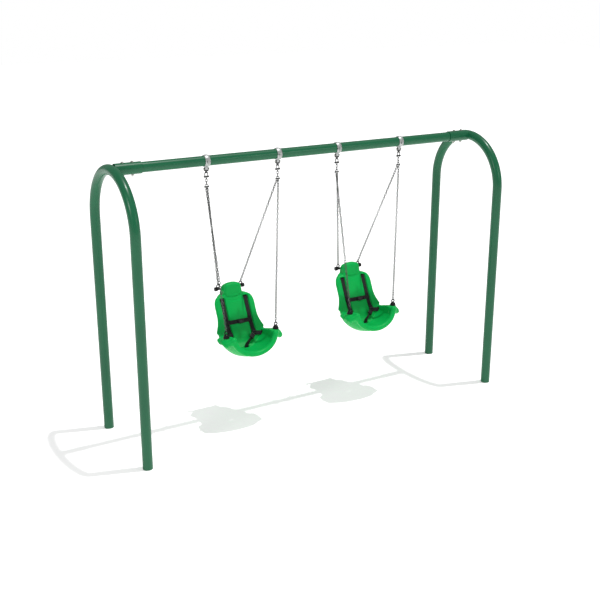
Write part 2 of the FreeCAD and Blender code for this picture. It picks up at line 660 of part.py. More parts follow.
def eye_nut():
    at = FRONT_EYE
    z = at.z - EYE_SEAT_T
    washer = cylinder_z(16.0, z - 2.5, z, at.x, at.y)
    nut = hexagon(17.0, z - 12.0, z - 2.5, at.x, at.y)
    return fused([washer, nut]).cut(cylinder_z(EYE_SHANK_R, z - 30, z + 1, at.x, at.y))


def rear_eye():
    """Coated ring on a collar, capped by a knob, on the end of the bar behind the headrest."""
    collar = cylinder_x(COLLAR_R, HEAD_HALF_W + 1.5, KNOB_XS[0], REAR_BAR_Y, REAR_BAR_Z)
    knob = cylinder_x(KNOB_R, KNOB_XS[0], KNOB_XS[1], REAR_BAR_Y, REAR_BAR_Z)
    knob = knob.makeFillet(KNOB_ROUNDING, [e for e in knob.Edges if e.Closed])
    ring_at = V(REAR_EYE_X, REAR_BAR_Y, REAR_BAR_Z + REAR_RING_UP)
    ring = Part.makeTorus(EYE_RING_R, EYE_WIRE_R, ring_at, Y_DIR)
    bore = cylinder_x(REAR_BAR_R, 0, KNOB_XS[0] + 6, REAR_BAR_Y, REAR_BAR_Z)
    return fused([collar, knob, ring]).cut(bore)


def rear_bar():
    end = KNOB_XS[0] + 6
    return cylinder_x(REAR_BAR_R, -end, end, REAR_BAR_Y, REAR_BAR_Z)


# ---------------------------------------------------------------- harness

def ribbon_yz(route, half_t, x0, x1):
    """Flat strap of even thickness whose route lies in the YZ plane, from x0 to x1."""
    left = inset(route, half_t)
    right = inset(route, -half_t)
    outline = left + right[::-1] + [left[0]]
    face = Part.Face(Part.makePolygon([V(x0, p.y, p.z) for p in outline]))
    return face.extrude(V(x1 - x0, 0, 0))


def ribbon(route, across, half_w, half_t):
    """Strap through any points, as a ruled loft of its cross-sections; across gives its width's direction."""
    wires = []
    last = len(route) - 1
    for i, p in enumerate(route):
        along = (route[min(i + 1, last)] - route[max(i - 1, 0)]).normalize()
        wide = (across[i] - along * across[i].dot(along)).normalize() * half_w
        thick = along.cross(wide).normalize() * half_t
        corners = [p + wide + thick, p + wide - thick, p - wide - thick, p - wide + thick, p + wide + thick]
        wires.append(Part.makePolygon(corners))
    return Part.makeLoft(wires, True, True)


def shoulder_strap():
    """Through the slot from behind, and down the channel to the hip."""
    surface = Part.BSplineCurve()
    surface.interpolate(shifted(FACE, V(0, CHANNEL_DEPTH, 0)))
    down = []
    for i in range(200):
        p = surface.value(surface.FirstParameter + (surface.LastParameter - surface.FirstParameter) * i / 199)
        if STRAP_LOW_Z < p.z < SLOT_Z - 12 and (not down or down[-1].z - p.z > 22):
            down.append(V(0, p.y - STRAP_LIFT, p.z))
    behind = BACK_AT_SLOT_Y + 8.0
    route = [V(0, behind - 22, SLOT_Z - 50), V(0, behind - 2, SLOT_Z - 8), V(0, behind - 6, SLOT_Z),
             V(0, down[0].y + 12, SLOT_Z), V(0, down[0].y + 2, SLOT_Z - 4)] + down
    return ribbon_yz(route, WEB_T / 2, STRAP_X - WEB_HALF_W, STRAP_X + WEB_HALF_W)


def chest_strap():
    """Across the panel, between the shoulder straps."""
    right = [V(0, 117.0, CHEST_Z), V(91, 117.0, CHEST_Z), V(104, 127.0, CHEST_Z), V(134, 127.5, CHEST_Z)]
    route = [V(-p.x, p.y, p.z) for p in right[:0:-1]] + right
    return ribbon(route, [FACE_SLOPE] * len(route), WEB_HALF_W, WEB_T / 2)


def rounded_block(size, r):
    """Block centred on the origin with its long edges along Z rounded."""
    box = block(-size.x / 2, size.x / 2, -size.y / 2, size.y / 2, -size.z / 2, size.z / 2)
    upright = [e for e in box.Edges if abs(e.tangentAt(0).z) > 0.99]
    return box.makeFillet(r, upright)


def chest_buckle():
    """Side-release buckle in front of the chest strap."""
    size = CHEST_BUCKLE
    body = rounded_block(V(size.z, size.y, size.x), 5.0)
    body.rotate(V(0, 0, 0), Y_DIR, 90)
    body.rotate(V(0, 0, 0), X_DIR, -27)
    body.translate(V(CHEST_BUCKLE_X, CHEST_BUCKLE_Y, CHEST_Z))
    return body


def lap_strap():
    """From the slot in the side wall to the end of the shoulder strap."""
    route = [HIP_ANCHOR + V(22, -3, -2), HIP_ANCHOR, V(150, 52, 815), HIP + V(22, -6, 0)]
    return ribbon(route, [FACE_SLOPE] * len(route), WEB_HALF_W, WEB_T / 2)


def hip_adjuster():
    """Ladder adjuster that joins the shoulder strap and the lap strap."""
    body = rounded_block(V(42, 9, 34), 3.0)
    body.rotate(V(0, 0, 0), X_DIR, -27)
    body.translate(HIP + V(0, -1, 14))
    return body


def crotch_strap():
    across = [X_DIR, X_DIR, V(0.8, 0.3, -0.4), V(0.5, 0.3, -0.8)]
    return ribbon(list(CROTCH_ROUTE), across, WEB_HALF_W, WEB_T / 2)


def buckle_placement():
    """Frame of the harness buckle: Z runs from the crotch strap to the hip, -Y is the button's face."""
    along = (HIP - CROTCH_ROUTE[-1]).normalize()
    face = V(0.1, -0.8, 0.6)
    y_axis = (along * face.dot(along) - face).normalize()
    x_axis = y_axis.cross(along)
    return FreeCAD.Placement(FreeCAD.Matrix(x_axis.x, y_axis.x, along.x, BUCKLE_AT.x,
                                            x_axis.y, y_axis.y, along.y, BUCKLE_AT.y,
                                            x_axis.z, y_axis.z, along.z, BUCKLE_AT.z, 0, 0, 0, 1))


def at_buckle(shape):
    out = shape.copy()
    out.Placement = buckle_placement().multiply(out.Placement)
    return out


def harness_buckle():
    """Body with a well for the release button and a mouth for the tongue."""
    body = rounded_block(BUCKLE, 5.0)
    gap = BUTTON_GAP
    well = block(-BUTTON.x / 2 - gap, BUTTON.x / 2 + gap, -BUCKLE.y, -BUCKLE.y / 2 + BUTTON.y + 2,
                 -BUTTON.z / 2 - gap, BUTTON.z / 2 + gap)
    mouth = block(-16.5, 16.5, 1.0, 5.0, 6, BUCKLE.z)
    return at_buckle(body.cut(well).cut(mouth))


def harness_button():
    face_y = -BUCKLE.y / 2 - BUTTON_PROUD
    button = block(-BUTTON.x / 2, BUTTON.x / 2, face_y, face_y + BUTTON.y, -BUTTON.z / 2, BUTTON.z / 2)
    return at_buckle(button.makeFillet(1.2, button.Edges[:4]))


def harness_tongue():
    """Steel latch plate in the buckle's mouth."""
    plate = block(-16, 16, 1.6, 4.4, 8, BUCKLE.z / 2 + 12)
    return at_buckle(plate)


SEAT = seat_shell()


def named(prefix, shapes):
    return {prefix + name: solids for name, solids in shapes.items()}


def swing(number, x):
    prefix = "swing_%d_" % number
    hangers = (-HANGER_DX, HANGER_DX)
    crown = YOKE_EYE_Z + SHACKLE_CROWN_UP
    shapes = {
        "pendulums": [yoke(h) for h in hangers],
        "pivot_bolts": [s for h in hangers for s in pivot_bolt(h)],
        "shackles": [s for h in hangers for s in shackle(h, crown, SHACKLE_PIN_Z, SHACKLE_HALF_W,
                                                         SHACKLE_WIRE_R, SHACKLE_EYE_R, SHACKLE_WIRE_R)],
        "upper_links": [s for h in hangers for s in upper_links(h)],
        "fork_shackles": [s for h in hangers for s in shackle(h, fork_crown_z(), FORK_PIN_Z, FORK_HALF_W,
                                                              FORK_WIRE_R, FORK_EYE_R, FORK_WIRE_R)],
        "seat_shell": [SEAT.copy()],
        "front_eyes": both_sides(front_eye()),
        "eye_nuts": both_sides(eye_nut()),
        "rear_eyes": both_sides(rear_eye()),
        "rear_bar": [rear_bar()],
        "shoulder_straps": both_sides(shoulder_strap()),
        "chest_strap": [chest_strap()],
        "strap_buckles": [chest_buckle()] + both_sides(hip_adjuster()),
        "lap_straps": both_sides(lap_strap()),
        "harness_tongue": [harness_tongue()],
        "crotch_strap": [crotch_strap()],
        "harness_buckle": [harness_buckle()],
        "harness_button": [harness_button()],
    }
    shapes.update(swing_chains())
    for solids in shapes.values():
        for solid in solids:
            solid.translate(V(x, 0, 0))
    return named(prefix, shapes)


def frame_parts():
    hanger_xs = [x + side * HANGER_DX for x in SWING_XS for side in (-1, 1)]
    shapes = {
        "left_arch": [arch(-ARCH_X)],
        "right_arch": [arch(ARCH_X)],
        "top_rail": [top_rail()],
        "left_sleeve": [sleeve(-1)],
        "right_sleeve": [sleeve(1)],
        "sleeve_bolts": [s for side in (-1, 1) for x in SLEEVE_BOLT_XS for s in sleeve_bolt(side * x)],
        "hanger_clamp_bolts": [s for x in hanger_xs for y in (-CLAMP_BOLT_Y, CLAMP_BOLT_Y)
                               for s in clamp_bolt(x, y)],
        "hanger_bushings": [bushing(x) for x in hanger_xs],
    }
    for i, x in enumerate(hanger_xs, 1):
        shapes["hanger_%d_upper_clamp" % i] = [band_half(x, True)]
        shapes["hanger_%d_lower_clamp" % i] = [lower_clamp(x)]
    return shapes


def export(shapes):
    os.makedirs("parts", exist_ok=True)
    for name, solids in shapes.items():
        shape = solids[0] if len(solids) == 1 else Part.makeCompound(solids)
        bad = not shape.isValid()
        count = len(shape.Solids)
        print("%-28s solids %3d volume %.0f%s" % (name, count, shape.Volume, " INVALID" if bad else ""))
        shape.exportStep("parts/%s.step" % name)


export(frame_parts())
for number, x in enumerate(SWING_XS, 1):
    export(swing(number, x))
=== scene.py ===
"""Looks of the two-bay swing frame and its two high-back bucket seats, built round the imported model.

Each seat is drawn in its own millimetres: x = 0 is the swing's middle plane, the seat faces -Y, and the
ground is z = 0. The frame, hangers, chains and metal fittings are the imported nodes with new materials. The
moulded shells, webbing, strap buckles and front rings are drawn here and take the place of their nodes.
"""
import json
import math
import bpy
import numpy as np
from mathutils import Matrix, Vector


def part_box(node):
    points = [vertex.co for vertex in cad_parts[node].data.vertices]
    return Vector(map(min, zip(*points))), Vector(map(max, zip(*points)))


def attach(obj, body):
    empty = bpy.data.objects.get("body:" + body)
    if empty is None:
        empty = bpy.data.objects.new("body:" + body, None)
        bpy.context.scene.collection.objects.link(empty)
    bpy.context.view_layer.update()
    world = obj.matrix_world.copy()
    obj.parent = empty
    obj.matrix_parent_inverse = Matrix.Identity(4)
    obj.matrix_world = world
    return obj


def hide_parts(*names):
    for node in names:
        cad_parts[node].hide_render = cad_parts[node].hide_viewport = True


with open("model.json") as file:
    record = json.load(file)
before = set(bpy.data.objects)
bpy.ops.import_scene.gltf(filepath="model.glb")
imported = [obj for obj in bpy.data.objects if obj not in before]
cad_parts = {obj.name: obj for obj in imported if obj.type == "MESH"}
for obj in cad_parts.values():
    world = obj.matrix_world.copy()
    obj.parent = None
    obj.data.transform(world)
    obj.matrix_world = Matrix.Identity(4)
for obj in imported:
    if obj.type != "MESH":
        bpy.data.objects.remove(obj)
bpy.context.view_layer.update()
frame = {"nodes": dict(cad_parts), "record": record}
NODES = frame["nodes"]
MM = 0.001
SWINGS = (1, 2)


def swing_x(number):
    """Middle plane of a swing, from its rear bar."""
    low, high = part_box("swing_%d_rear_bar" % number)
    return (low[0] + high[0]) / 2


# ---------------------------------------------------------------- materials

def srgb(r, g, b):
    """Linear colour of an 8-bit screen colour."""
    def linear(c):
        c = c / 255
        return c / 12.92 if c <= 0.04045 else ((c + 0.055) / 1.055) ** 2.4
    return (linear(r), linear(g), linear(b), 1.0)


class Paint:
    """A Principled material and short ways to add nodes to it."""

    def __init__(self, name, colour, roughness, metallic=0.0):
        self.material = bpy.data.materials.new(name)
        self.material.use_nodes = True
        self.tree = self.material.node_tree
        self.shader = self.tree.nodes["Principled BSDF"]
        self.shader.inputs["Base Color"].default_value = colour
        self.shader.inputs["Roughness"].default_value = roughness
        self.shader.inputs["Metallic"].default_value = metallic
        self.bumps = None
        coords = self.node("ShaderNodeTexCoord")
        self.place = coords.outputs["Object"]

    def node(self, kind, **settings):
        made = self.tree.nodes.new(kind)
        for key, value in settings.items():
            setattr(made, key, value)
        return made

    def link(self, source, target):
        self.tree.links.new(source, target)

    def noise(self, scale, detail):
        made = self.node("ShaderNodeTexNoise")
        made.inputs["Scale"].default_value = scale
        made.inputs["Detail"].default_value = detail
        self.link(self.place, made.inputs["Vector"])
        return made.outputs["Fac"]

    def colour(self, source, stops):
        """Base colour from a ramp of (position, colour) stops."""
        made = self.node("ShaderNodeValToRGB")
        band = made.color_ramp
        band.elements[0].position, band.elements[0].color = stops[0]
        band.elements[1].position, band.elements[1].color = stops[-1]
        for position, colour in stops[1:-1]:
            band.elements.new(position).color = colour
        self.link(source, made.inputs["Fac"])
        self.link(made.outputs["Color"], self.shader.inputs["Base Color"])

    def rough(self, source, low, high):
        made = self.node("ShaderNodeMapRange")
        made.inputs["To Min"].default_value = low
        made.inputs["To Max"].default_value = high
        self.link(source, made.inputs["Value"])
        self.link(made.outputs["Result"], self.shader.inputs["Roughness"])

    def bump(self, source, distance, strength=1.0):
        """Bump over any bumps that the material has already."""
        made = self.node("ShaderNodeBump")
        made.inputs["Distance"].default_value = distance
        made.inputs["Strength"].default_value = strength
        self.link(source, made.inputs["Height"])
        if self.bumps:
            self.link(self.bumps, made.inputs["Normal"])
        self.bumps = made.outputs["Normal"]
        self.link(self.bumps, self.shader.inputs["Normal"])


def shade(c, k):
    """A colour made darker or lighter."""
    return (c[0] * k, c[1] * k, c[2] * k, 1.0)


def powder_coat():
    """Baked green powder coat: fine orange peel, and a little uneven in tone."""
    green = srgb(18, 96, 62)
    p = Paint("powder_coat", green, 0.33)
    p.shader.inputs["Specular IOR Level"].default_value = 0.3
    p.shader.inputs["Coat Weight"].default_value = 0.12
    p.shader.inputs["Coat Roughness"].default_value = 0.16
    p.colour(p.noise(2.2, 4), [(0.3, shade(green, 0.92)), (0.7, shade(green, 1.1))])
    p.rough(p.noise(9.0, 3), 0.28, 0.4)
    p.bump(p.noise(420.0, 2), 0.00012)
    return p.material


def galvanised():
    """Hot-dip zinc: spangle in pale grey, dull and slightly uneven."""
    p = Paint("galvanised", srgb(168, 170, 170), 0.42, 0.7)
    spangle = p.node("ShaderNodeTexVoronoi")
    spangle.inputs["Scale"].default_value = 320.0
    p.link(p.place, spangle.inputs["Vector"])
    p.colour(spangle.outputs["Distance"], [(0.0, srgb(158, 161, 161)), (0.8, srgb(192, 194, 193))])
    p.rough(p.noise(60.0, 3), 0.34, 0.55)
    p.bump(p.noise(240.0, 3), 0.0001)
    return p.material


def chain_steel():
    """Short-link chain, duller and darker than the clamps."""
    p = Paint("chain_steel", srgb(92, 94, 94), 0.38, 0.9)
    p.colour(p.noise(90.0, 3), [(0.3, srgb(54, 56, 56)), (0.7, srgb(104, 106, 105))])
    p.rough(p.noise(60.0, 3), 0.3, 0.5)
    p.bump(p.noise(260.0, 3), 0.0001)
    return p.material


def zinc_plate():
    p = Paint("zinc_plate", srgb(176, 176, 170), 0.3, 1.0)
    p.colour(p.noise(45.0, 3), [(0.3, srgb(160, 160, 154)), (0.7, srgb(196, 196, 190))])
    p.rough(p.noise(130.0, 2), 0.24, 0.4)
    return p.material


def moulded_plastic():
    """Rotationally moulded polyethylene: saturated green, satin, faintly pebbled."""
    green = srgb(8, 172, 78)
    p = Paint("moulded_plastic", green, 0.36)
    p.shader.inputs["Specular IOR Level"].default_value = 0.1
    p.shader.inputs["Subsurface Weight"].default_value = 0.12
    p.shader.inputs["Subsurface Radius"].default_value = (0.2, 1.0, 0.35)
    p.shader.inputs["Subsurface Scale"].default_value = 0.01
    p.colour(p.noise(5.0, 4), [(0.3, shade(green, 0.94)), (0.7, shade(green, 1.06))])
    p.rough(p.noise(28.0, 3), 0.32, 0.44)
    p.bump(p.noise(520.0, 2), 0.00012)
    p.bump(p.noise(14.0, 2), 0.0008, 0.5)
    return p.material


def dipped_rubber():
    """Black vinyl dip on the rings, boots and knobs."""
    p = Paint("dipped_rubber", srgb(22, 22, 24), 0.42)
    p.shader.inputs["Specular IOR Level"].default_value = 0.25
    p.colour(p.noise(30.0, 3), [(0.3, srgb(6, 6, 8)), (0.7, srgb(16, 16, 18))])
    p.rough(p.noise(70.0, 3), 0.34, 0.55)
    p.bump(p.noise(300.0, 2), 0.00015)
    return p.material


def black_plastic():
    p = Paint("black_plastic", srgb(20, 20, 22), 0.4)
    p.colour(p.noise(90.0, 3), [(0.3, srgb(15, 15, 17)), (0.7, srgb(30, 30, 33))])
    p.rough(p.noise(160.0, 2), 0.32, 0.48)
    p.bump(p.noise(700.0, 2), 0.00008)
    return p.material


def nylon_bush():
    p = Paint("nylon_bush", srgb(60, 60, 58), 0.5)
    p.rough(p.noise(120.0, 3), 0.42, 0.6)
    return p.material


YARN = 0.0016              # pitch of the webbing's ribs along the strap, in metres
HERRINGBONE = 0.0048       # width of one leaning band of ribs


def webbing():
    """Black herringbone webbing with painted shade in the grooves between its ribs and a painted highlight
    on their crests. Its pattern follows the UVs laid along each strap, in metres.
    """
    p = Paint("webbing", srgb(24, 24, 27), 0.82)
    p.shader.inputs["Sheen Weight"].default_value = 0.05
    p.shader.inputs["Sheen Roughness"].default_value = 0.4
    uv = p.node("ShaderNodeUVMap", uv_map="strap")
    p.place = uv.outputs["UV"]
    split = p.node("ShaderNodeSeparateXYZ")
    p.link(uv.outputs["UV"], split.inputs["Vector"])
    fold = p.node("ShaderNodeMath", operation="PINGPONG")
    fold.inputs[1].default_value = HERRINGBONE
    p.link(split.outputs["Y"], fold.inputs[0])
    lean = p.node("ShaderNodeMath", operation="ADD")
    p.link(split.outputs["X"], lean.inputs[0])
    p.link(fold.outputs["Value"], lean.inputs[1])
    wave = p.node("ShaderNodeMath", operation="MULTIPLY")
    wave.inputs[1].default_value = 2 * math.pi / YARN
    p.link(lean.outputs["Value"], wave.inputs[0])
    yarn = p.node("ShaderNodeMath", operation="SINE")
    p.link(wave.outputs["Value"], yarn.inputs[0])
    raised = p.node("ShaderNodeMapRange")
    raised.inputs["From Min"].default_value = -1.0
    p.link(yarn.outputs["Value"], raised.inputs["Value"])
    # colour follows the ribs' height: painted shade in the grooves, painted highlight on the crests
    stops = [(0.0, srgb(5, 5, 6)), (0.65, srgb(16, 16, 18)), (1.0, srgb(30, 30, 32))]
    p.colour(raised.outputs["Result"], stops)
    p.bump(raised.outputs["Result"], 0.0003)
    p.bump(p.noise(900.0, 2), 0.00015)
    return p.material


def thread():
    p = Paint("thread", srgb(70, 70, 74), 0.7)
    p.bump(p.noise(1500.0, 2), 0.0001)
    return p.material


MATERIALS = {
    "frame_paint": powder_coat(),
    "galvanised": galvanised(),
    "zinc": zinc_plate(),
    "bushing": nylon_bush(),
    "seat_plastic": moulded_plastic(),
    "black_coating": dipped_rubber(),
    "black_plastic": black_plastic(),
    "webbing": webbing(),
}
THREAD = thread()
CHAIN_STEEL = chain_steel()
CHAIN_NODES = ("_chain", "_upper_links", "_shackles", "_pendulums")


def dress_nodes():
    """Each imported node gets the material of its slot, and the chains a steel of their own."""
    for part in frame["record"]["subparts"]:
        node = NODES[part["node"]]
        material = MATERIALS[part["material_slot"]]
        if part["node"].endswith(CHAIN_NODES):
            material = CHAIN_STEEL
        for i in range(len(node.material_slots)):
            node.material_slots[i].material = material


# ---------------------------------------------------------------- mesh helpers

def mesh_object(name, vertices, faces, material, smooth=True):
    """Object in the scene from vertices in metres and their faces."""
    mesh = bpy.data.meshes.new(name)
    mesh.from_pydata([tuple(v) for v in vertices], [], [tuple(f) for f in faces])
    mesh.update()
    obj = bpy.data.objects.new(name, mesh)
    bpy.context.scene.collection.objects.link(obj)
    mesh.materials.append(material)
    if smooth:
        mesh.polygons.foreach_set("use_smooth", [True] * len(mesh.polygons))
    return obj


# ---------------------------------------------------------------- seat shell as a distance field

# side profile of the backrest: front face and back, as (y, z) from the headrest's top down
FACE = ((262, 1278), (243, 1257), (237, 1205), (230, 1150), (205, 1100), (130, 945), (78, 850), (34, 768),
        (-18, 730))
BACK = ((290, 1278), (318, 1248), (334, 1205), (320, 1158), (282, 1100), (198, 945), (156, 850), (122, 760),
        (76, 690), (0, 656))
# half outline of the back seen from the front: (x, z)
OUTLINE = ((0, 1278), (42, 1270), (75, 1248), (91, 1213), (95, 1184), (107, 1164), (150, 1155), (183, 1135),
           (201, 1092), (203, 1026), (204, 970), (216, 920), (237, 874), (243, 860), (234, 845), (206, 822),
           (176, 786), (110, 740), (0, 700))
# pan sections along Y: (y, half width, depth below PAN_TOP, roundness)
OUTER = ((-262, 212, 160, 2.1), (-214, 222, 178, 2.1), (-150, 234, 212, 2.2), (-40, 243, 236, 2.4),
         (70, 240, 220, 2.5), (140, 214, 150, 2.5))
INNER = ((-262, 190, 136, 2.0), (-150, 194, 156, 2.1), (-40, 203, 168, 2.2), (70, 202, 160, 2.3),
         (170, 180, 120, 2.3))
# top edge of the pan's side walls: (y, z)
RIM = ((-330, 930), (-180, 892), (-115, 884), (-20, 862), (90, 841), (240, 841))
# outline of an arm from above: (x, y)
ARM_PLAN = ((150, -200), (240, -190), (284, -174), (303, -145), (308, -100), (306, -50), (296, -8),
            (268, 14), (225, 26), (150, 30))
PAN_TOP = 890.0
LEAN_COS = 0.88            # the backrest's lean: cosine and sine of its face's slope
LEAN_SIN = 0.48

BACK_THICK = 96.0          # back's depth behind its face, in the middle
WING_THINNER = 58.0        # loss of depth at the wings
WING_X = (96.0, 176.0)     # where the back thins out into a wing
PILLOW_UP = 8.0            # headrest's pillow, its sides, its top and its curved lower edge
PILLOW_SIDE = (74.0, 88.0)
PILLOW_TOP = (1262.0, 1282.0)
PILLOW_EDGE_Z = 1146.0
PILLOW_EDGE_CURVE = 0.0024
PILLOW_EDGE_SOFT = 9.0
RIDGE_UP = 3.5             # ridges under the pillow: height, half width, drops under its edge, ends
RIDGE_WIDE = 4.2
RIDGE_DROPS = (9.0, 21.0)
RIDGE_SIDE = (78.0, 92.0)
PANEL_UP = 5.0             # raised panel down the middle of the back
PANEL_HALF = 96.0
PANEL_FOOT = (770.0, 830.0)
PANEL_HEAD = (1100.0, 1130.0)

EYE = (253.5, -115.0, 888.0)     # middle of the boot's seat on the arm
EYE_SEAT_R = 29.0
EYE_SEAT_T = 52.0
ARM_SLOPE = 0.27           # fall of the arm per millimetre towards the back
ARM_FRONT_FALL = 0.35      # the same ahead of the eye, towards the front
ARM_FRONT_FROM = 8.0       # how far ahead of the eye that starts
ARM_THICK = 34.0
ARM_DROOP = 27.0           # fall of the arm at its end
DROOP_X = 262.0            # where the droop starts, and how much further out it is complete
DROOP_OVER = 43.0
DROOP_BACK = (-90.0, -10.0)      # where it fades out towards the back
BEAD = ((214, -184, 876), (270, -156, 834))      # roll along the arm's front edge
BEAD_R = 25.0

LIP_HALF = 212.0           # rolled lip: half width, depth, front, slope, radius
LIP_DROP = 166.5
LIP_Y = -180.0
LIP_LEAN = 0.24
LIP_R = 24.0
LIP_FROM = 0.08            # angle at which the lip runs out into the arm
LIP_BALLS = 34             # balls that make up half of it
LIP_REACH_Y = -110         # nothing behind this is near the lip

CHANNEL_X = 120.0          # channels for the shoulder straps
CHANNEL_HALF = 26.0
CHANNEL_DEEP = 15.0
CHANNEL_Z = 968.0
CHANNEL_HALF_Z = 174.0
# strap slots as (middle, half sizes, edge radius)
STRAP_SLOT = ((CHANNEL_X, 280, 1129), (23, 120, 7.5), 6)
CROTCH_SLOT = ((0, -18, 690), (24, 6.5, 90), 5)
LAP_SLOT = ((216, 46, 810), (44, 14, 22), 6)

STEP = 4.0                 # grid spacing of the field, and the box that it covers
GRID_X_END = 340
GRID_Y = (-276, 352)
GRID_Z = (604, 1300)


def through(points, count=12):
    """Dense points of a Catmull-Rom curve through a few."""
    p = np.array(points, float)
    ends = np.vstack([2 * p[0] - p[1], p, 2 * p[-1] - p[-2]])
    t = np.linspace(0, 1, count, endpoint=False)[:, None]
    out = []
    for a, b, c, d in zip(ends, ends[1:], ends[2:], ends[3:]):
        out.append(0.5 * (2 * b + (c - a) * t + (2 * a - 5 * b + 4 * c - d) * t * t
                          + (3 * b - a - 3 * c + d) * t ** 3))
    out.append(p[-1:])
    return np.vstack(out)


def polygon_distance(u, v, corners):
    """Signed distance from points (u, v) to a closed outline, negative inside."""
    a = np.asarray(corners, float)
    b = np.roll(a, -1, axis=0)
    best = np.full(u.shape, 1e9)
    inside = np.zeros(u.shape, bool)
    for (au, av), (bu, bv) in zip(a, b):
        eu, ev = bu - au, bv - av
        long = eu * eu + ev * ev
        if long < 1e-9:
            continue
        t = np.clip(((u - au) * eu + (v - av) * ev) / long, 0, 1)
        best = np.minimum(best, (u - au - t * eu) ** 2 + (v - av - t * ev) ** 2)
        crosses = (av > v) != (bv > v)
        with np.errstate(divide="ignore", invalid="ignore"):
            at = au + (v - av) * eu / ev if ev else np.full(u.shape, np.inf)
        inside ^= crosses & (u < at)
    return np.where(inside, -1, 1) * np.sqrt(best)


def both(a, b, r):
    """Intersection of two distances, with its edge rounded to a radius."""
    u, v = a + r, b + r
    outside = np.hypot(np.maximum(u, 0), np.maximum(v, 0))
    return outside + np.minimum(np.maximum(u, v), 0) - r


def either(a, b, k):
    """Union of two distances, with a fillet of about k."""
    h = np.clip(0.5 + 0.5 * (b - a) / k, 0, 1)
    return b * (1 - h) + a * h - k * h * (1 - h)


def less(a, b, k):
    """a with b taken away, and its edge softened by about k."""
    return -either(-a, b, k)


def step_up(x, low, high):
    """Smooth step from 0 to 1."""
    t = np.clip((x - low) / (high - low), 0, 1)
    return t * t * (3 - 2 * t)


def along(points, at):
    """Smooth curve through (position, value) pairs, read at a position."""
    dense = through(sorted(points))
    return np.interp(at, dense[:, 0], dense[:, 1])


def face_at(z):
    """Y of the backrest's front face at a height."""
    return along([(p[1], p[0]) for p in FACE], z)


def pan_distance(x, y, z, sections):
    """Distance to a half super-ellipse tube whose size changes along Y."""
    a = along([(s[0], s[1]) for s in sections], y)
    b = along([(s[0], s[2]) for s in sections], y)
    p = along([(s[0], s[3]) for s in sections], y)
    drop = np.maximum(PAN_TOP - z, 0)
    f = ((x / a) ** p + (drop / b) ** p) ** (1 / p)
    r = np.hypot(x, drop)
    return r * (1 - 1 / np.maximum(f, 1e-3))


def lip_distance(x, y, z):
    """Distance to the rolled front lip's centre line, on a grid of x, y and z."""
    best = np.full(np.broadcast(x, y, z).shape, 1e6, np.float32)
    near = y.ravel() < LIP_REACH_Y
    yy = y[:, near, :]
    part = best[:, near, :]
    for t in np.linspace(LIP_FROM, math.pi / 2, LIP_BALLS):
        drop = LIP_DROP * math.sin(t)
        px, py, pz = LIP_HALF * math.cos(t), LIP_Y - LIP_LEAN * drop, PAN_TOP - drop
        part = np.minimum(part, (x - px) ** 2 + (yy - py) ** 2 + (z - pz) ** 2)
    best[:, near, :] = part
    return np.sqrt(best)


def segment_distance(x, y, z, a, b):
    """Distance to a straight line between two points."""
    d = np.subtract(b, a)
    t = np.clip(((x - a[0]) * d[0] + (y - a[1]) * d[1] + (z - a[2]) * d[2]) / (d @ d), 0, 1)
    return np.sqrt((x - a[0] - t * d[0]) ** 2 + (y - a[1] - t * d[1]) ** 2 + (z - a[2] - t * d[2]) ** 2)


def box_distance(x, y, z, centre, half, r):
    """Signed distance to a box with rounded edges."""
    q = [np.abs(c - m) - h + r for c, m, h in zip((x, y, z), centre, half)]
    outside = np.sqrt(sum(np.maximum(c, 0) ** 2 for c in q))
    return outside + np.minimum(np.maximum(np.maximum(q[0], q[1]), q[2]), 0) - r


def back_field(x, y, z, face_y):
    """Backrest, wings and headrest."""
    side = np.vstack([through(FACE), through(BACK)[::-1]])
    profile = polygon_distance(*np.meshgrid(y.ravel(), z.ravel(), indexing="ij"), side)[None]
    right = through(OUTLINE)
    loop = np.vstack([right, right[::-1] * (-1, 1)])
    front = polygon_distance(*np.meshgrid(x.ravel(), z.ravel(), indexing="ij"), loop)[:, None]
    thick = BACK_THICK - WING_THINNER * step_up(x, *WING_X)
    thin = (y - face_y - thick) * LEAN_COS
    body = both(both(profile, thin, 16), front, 17)
    edge = PILLOW_EDGE_Z + PILLOW_EDGE_CURVE * x * x
    pillow = PILLOW_UP * (1 - step_up(x, *PILLOW_SIDE)) * (1 - step_up(z, *PILLOW_TOP))
    pillow = pillow * step_up(z, edge, edge + PILLOW_EDGE_SOFT)
    ridges = sum(np.exp(-((z - edge + drop) / RIDGE_WIDE) ** 2) for drop in RIDGE_DROPS)
    ridges = RIDGE_UP * ridges * (1 - step_up(x, *RIDGE_SIDE))
    panel = PANEL_UP * np.clip(1 - (x / PANEL_HALF) ** 2, 0, 1)
    panel = panel * step_up(z, *PANEL_FOOT) * (1 - step_up(z, *PANEL_HEAD))
    front_side = 1 - step_up(y - face_y, 5, 40)
    return body - (pillow + ridges + panel) * front_side


def arm_field(x, y, z, inner):
    """Arm with the rolled bead at its front and the thick seat of the eye; nothing of it is in the pan."""
    places = np.meshgrid(x.ravel(), y.ravel(), indexing="ij")
    plan = polygon_distance(*places, through(ARM_PLAN))[:, :, None]
    droop = ARM_DROOP * np.clip((x - DROOP_X) / DROOP_OVER, 0, 2) ** 1.4
    droop = droop * (1 - 0.9 * step_up(y, *DROOP_BACK))
    ahead = EYE[1] - ARM_FRONT_FROM - y
    fall = ARM_SLOPE * np.maximum(y - EYE[1], 0) + ARM_FRONT_FALL * np.maximum(ahead, 0)
    middle = EYE[2] - fall - ARM_THICK / 2 - droop
    arm = both(plan, (np.abs(z - middle) - ARM_THICK / 2) * 0.96, 15)
    arm = either(arm, segment_distance(x, y, z, *BEAD) - BEAD_R, 14)
    seat = both(eye_distance(x, y), np.abs(z - EYE[2] + EYE_SEAT_T / 2) - EYE_SEAT_T / 2, 3)
    return both(either(arm, seat, 4), -inner, 8)


def eye_distance(x, y):
    """Distance to the upright cylinder in which the boot stands."""
    return np.hypot(x - EYE[0], y - EYE[1]) - EYE_SEAT_R


